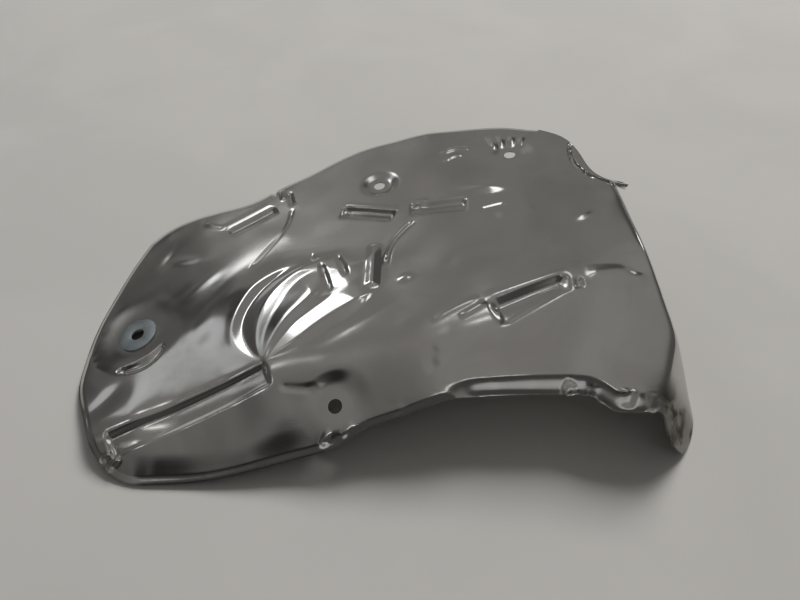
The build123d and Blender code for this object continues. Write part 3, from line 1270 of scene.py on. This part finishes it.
@dataclass(frozen=True)
class SheetFinish:
    """Bright rolled aluminium sheet, handled and smudged, with its leg's tip darkened by dirt and painted
    shade.
    """

    clean: Colour = (0.655, 0.645, 0.63, 1.0)
    dull: Colour = (0.56, 0.545, 0.52, 1.0)
    # Dark colour at the leg's tip: dirt, with painted shade standing in for the dark reflection there.
    leg_dirt_and_shade: Colour = (0.11, 0.10, 0.08, 1.0)
    roughness: Place = (0.11, 0.20)
    leg_dirt_and_shade_roughness: float = 0.5
    leg_x: Place = (0.142, 0.158)
    leg_y: Place = (-0.088, -0.106)
    patch_scale: float = 16.0
    speckle_scale: float = 80.0
    speckle_range: Place = (0.55, 1.0)
    grain_scale: float = 30.0
    grain_depth: float = 0.00001

    def material(self) -> bpy.types.Material:
        """Build the material.

        Returns:
            The finished material.
        """
        desk = FinishDesk.start("rolled_aluminium")
        shader = desk.shader
        shader.inputs["Metallic"].default_value = 1.0
        patches = desk.shared("smudges", self.patch_scale)
        grain = desk.shared("rolled_grain", self.grain_scale)
        split = desk.add("ShaderNodeSeparateXYZ")
        desk.join(desk.coordinates, split.inputs["Vector"])
        leg = desk.sum_of(
            "MULTIPLY",
            desk.mapped(split.outputs["X"], self.leg_x, WHOLE_RANGE),
            desk.mapped(split.outputs["Y"], self.leg_y, WHOLE_RANGE),
        )
        speckle = desk.shared("smudges", self.speckle_scale)
        speckle = desk.mapped(speckle, WHOLE_RANGE, self.speckle_range)
        # Painted shade and dirt: the leg's tip is darkened in speckled patches and made rougher.
        leg_dirt_and_shade_share = desk.sum_of("MULTIPLY", leg, speckle)
        colour = desk.blended(patches, self.clean, self.dull)
        desk.join(desk.blended(leg_dirt_and_shade_share, colour, self.leg_dirt_and_shade), shader.inputs["Base Color"])
        rough = desk.mapped(patches, WHOLE_RANGE, self.roughness)
        rough = desk.sum_of("MULTIPLY_ADD", leg_dirt_and_shade_share, self.leg_dirt_and_shade_roughness, rough)
        desk.join(rough, shader.inputs["Roughness"])
        desk.relief(grain, self.grain_depth)
        return desk.material


@dataclass(frozen=True)
class PlatedFinish:
    """Dull blue-grey zinc plating."""

    colour: Colour = (0.40, 0.47, 0.50, 1.0)
    worn: Colour = (0.52, 0.56, 0.58, 1.0)
    roughness: Place = (0.36, 0.48)
    patch_scale: float = 120.0
    grain_scale: float = 60.0
    grain_depth: float = 0.00001

    def material(self) -> bpy.types.Material:
        """Build the material.

        Returns:
            The finished material.
        """
        desk = FinishDesk.start("zinc_plating")
        desk.shader.inputs["Metallic"].default_value = 1.0
        desk.patchy(self.patch_scale, self.colour, self.worn, self.roughness)
        desk.relief(desk.shared("rolled_grain", self.grain_scale), self.grain_depth)
        return desk.material


@dataclass(frozen=True)
class FloorFinish:
    """Plain pale table top."""

    colour: Colour = (0.50, 0.488, 0.472, 1.0)
    dusty: Colour = (0.475, 0.464, 0.448, 1.0)
    roughness: Place = (0.55, 0.65)
    patch_scale: float = 7.0

    def material(self) -> bpy.types.Material:
        """Build the material.

        Returns:
            The finished material.
        """
        desk = FinishDesk.start("pale_table")
        desk.patchy(self.patch_scale, self.colour, self.dusty, self.roughness)
        return desk.material


def bearing(azimuth: float, elevation: float) -> Vector:
    """Direction from the object, by degrees round from the back to the right and degrees up."""
    turn, rise = math.radians(azimuth), math.radians(elevation)
    return Vector((math.sin(turn) * math.cos(rise), math.cos(turn) * math.cos(rise), math.sin(rise)))


@dataclass(frozen=True)
class SoftBox:
    """A soft lamp, by its bearing from the object and its size in metres."""

    name: str
    azimuth: float
    elevation: float
    width: float
    height: float
    radiance: float
    colour: tuple[float, float, float] = (1.0, 1.0, 1.0)
    mirrored: bool = True
    distance: float = 1.6

    def add(self) -> None:
        """Add the lamp, aimed at the object."""
        aim = bearing(self.azimuth, self.elevation)
        light = bpy.data.lights.new(self.name, "AREA")
        light.shape = "RECTANGLE"
        light.size = self.width
        light.size_y = self.height
        light.energy = self.radiance * math.pi * self.width * self.height
        light.color = self.colour
        lamp = bpy.data.objects.new(self.name, light)
        bpy.context.scene.collection.objects.link(lamp)
        lamp.location = aim * self.distance
        lamp.rotation_euler = aim.to_track_quat("Z", "Y").to_euler()
        lamp.visible_glossy = self.mirrored


SOFT_BOXES = (
    SoftBox("key_light", 22, 46, 1.65, 1.65, 17.6, (1.0, 0.99, 0.97), mirrored=False, distance=4.0),
    SoftBox("window_light", -37.2, 36.7, 0.31, 0.215, 2.7, (0.95, 0.98, 1.0)),
    SoftBox("curtain_light", -52, 37, 0.60, 0.25, 0.41, (0.92, 0.97, 1.0)),
    SoftBox("right_light", 46, 34, 0.36, 0.30, 1.6),
    SoftBox("ceiling_back", 5, 74, 0.20, 0.10, 1.2),
    SoftBox("ceiling_middle", 0, 60, 0.30, 0.27, 1.4),
    SoftBox("ceiling_edge", -63, 54, 0.10, 0.11, 2.2),
    SoftBox("ceiling_left", -94, 52, 0.10, 0.14, 2.5),
    SoftBox("ceiling_front", 180, 64, 0.50, 0.07, 2.4),
    SoftBox("front_light", 180, 16, 1.60, 0.35, 0.35),
)


@dataclass(frozen=True)
class RoomPatch:
    """A brighter or darker round patch of the room around the object.

    Attributes:
        azimuth: Bearing of its middle in degrees round from the back to the right.
        elevation: Its height in degrees above the table.
        fades: Degrees from its middle between which it fades out.
        level: What it adds to the room's level, negative where the room is darker.
    """

    azimuth: float
    elevation: float
    fades: Place
    level: float


CAMERA_SIDE = RoomPatch(184, 42, (22, 34), -0.15)
LEFT_FRONT = RoomPatch(-118, 50, (12, 34), -0.07)
BACK_LEFT = RoomPatch(-46, 10, (14, 34), -0.025)
BELOW_WINDOW = RoomPatch(-42, 28.5, (3, 7.5), -0.12)
RIGHT_BACK = RoomPatch(24, 40, (8, 15), -0.13)
MIDDLE_GLOW = RoomPatch(-24, 30, (2, 14), 0.08)
ROOM_PATCHES = (CAMERA_SIDE, LEFT_FRONT, BACK_LEFT, BELOW_WINDOW, RIGHT_BACK, MIDDLE_GLOW)


@dataclass
class Studio:
    """Floor, lamps, surroundings and camera.

    Attributes:
        floor_size: Side of the table top in metres.
        camera_place: Place of the camera in mm.
        camera_target: Place in mm that it looks at.
        focal_pixels: Its focal length in pixels of the frame.
        frame_pixels: Width of the frame in pixels.
        near_clip: Nearest distance in metres that it sees.
        room_colour: Colour of the room's light.
        horizon_level: Level of the room at the table.
        wall_level: Level of its walls.
        ceiling_level: Level overhead.
        horizon_fade: Rise of the view over which the horizon turns into wall.
        ceiling_fade: Rise of the view over which the wall turns into ceiling.
        side_fade: How far to either side the room falls off.
        side_share: Share of the level that is left at the sides.
        lowest_level: Level below which nothing falls.
    """

    floor_size: float = 12.0
    camera_place: tuple[float, float, float] = (13.44, -281.06, 335.8)
    camera_target: tuple[float, float, float] = (13.44, -1.457, 2.617)
    focal_pixels: float = 628.0
    frame_pixels: float = 800.0
    near_clip: float = 0.01
    room_colour: Colour = (1.0, 0.975, 0.94, 1.0)
    horizon_level: float = 0.20
    wall_level: float = 0.21
    ceiling_level: float = 0.27
    horizon_fade: Place = (0.04, 0.25)
    ceiling_fade: Place = (0.75, 1.0)
    side_fade: Place = (0.50, 0.85)
    side_share: float = 0.45
    lowest_level: float = 0.02

    def build(self) -> None:
        """Set up the whole stage."""
        self.add_floor()
        for box in SOFT_BOXES:
            box.add()
        self.add_world()
        self.add_camera()
        bpy.context.scene.view_settings.view_transform = "Standard"

    def add_floor(self) -> None:
        """Add the table that the shield lies on."""
        deselect_all()
        bpy.ops.mesh.primitive_plane_add(size=self.floor_size)
        floor = bpy.context.object
        floor.name = "table_top"
        floor.data.materials.append(FloorFinish().material())

    def add_world(self) -> None:
        """Light the room softly from all around, with its brighter and darker patches."""
        world = bpy.data.worlds.new("room")
        bpy.context.scene.world = world
        world.use_nodes = True
        desk = NodeDesk(world.node_tree)
        background = next(node for node in desk.tree.nodes if node.type == "BACKGROUND")
        background.inputs["Color"].default_value = self.room_colour
        direction = desk.add("ShaderNodeTexCoord").outputs["Generated"]
        split = desk.add("ShaderNodeSeparateXYZ")
        desk.join(direction, split.inputs["Vector"])
        right, up = split.outputs["X"], split.outputs["Z"]
        level = desk.mapped(up, self.horizon_fade, (self.horizon_level, self.wall_level))
        lift = self.ceiling_level / self.wall_level
        level = desk.sum_of("MULTIPLY", level, desk.mapped(up, self.ceiling_fade, (1.0, lift)))
        aside = desk.sum_of("ABSOLUTE", right)
        sideways = desk.mapped(aside, self.side_fade, (1.0, self.side_share))
        level = desk.sum_of("MULTIPLY", level, sideways)
        for patch in ROOM_PATCHES:
            near = desk.add("ShaderNodeVectorMath", operation="DOT_PRODUCT")
            near.inputs[1].default_value = bearing(patch.azimuth, patch.elevation)
            desk.join(direction, near.inputs[0])
            inner, outer = (math.cos(math.radians(angle)) for angle in patch.fades)
            change = desk.mapped(near.outputs["Value"], (outer, inner), (0.0, patch.level))
            level = desk.sum_of("ADD", level, change)
        level = desk.sum_of("MAXIMUM", level, self.lowest_level)
        desk.join(level, background.inputs["Strength"])

    def add_camera(self) -> None:
        """Add the camera at the photograph's viewing angle."""
        data = bpy.data.cameras.new("camera")
        data.sensor_fit = "HORIZONTAL"
        data.lens = data.sensor_width * self.focal_pixels / self.frame_pixels
        data.clip_start = self.near_clip
        camera = bpy.data.objects.new("camera", data)
        bpy.context.scene.collection.objects.link(camera)
        place = Vector(self.camera_place) * MM
        target = Vector(self.camera_target) * MM
        camera.location = place
        camera.rotation_euler = (target - place).to_track_quat("-Z", "Y").to_euler()
        bpy.context.scene.camera = camera


def dress(piece: bpy.types.Object, material: bpy.types.Material, node: str) -> None:
    """Give a piece its finish and let it stand for a node of the frame.

    Args:
        piece: The finished piece.
        material: Its finish.
        node: The node of the frame that it replaces.
    """
    piece.data.materials.clear()
    piece.data.materials.append(material)
    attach(piece, BODY)
    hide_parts(node)
    LOG.info("%s: %d faces", piece.name, len(piece.data.polygons))


def main() -> None:
    """Build the shield, its washer and the stage."""
    logging.basicConfig(level=logging.INFO)
    add_grain_group()
    add_smudge_group()
    form = PressedForm(tuple(Vector(corner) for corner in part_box("shield_sheet")))
    sheet = ShieldSheet(form).build()
    dress(sheet, SheetFinish().material(), "shield_sheet")
    washer = PennyWasher().build()
    dress(washer, PlatedFinish().material(), "washer")
    Studio().build()


if __name__ == "__main__":
    main()
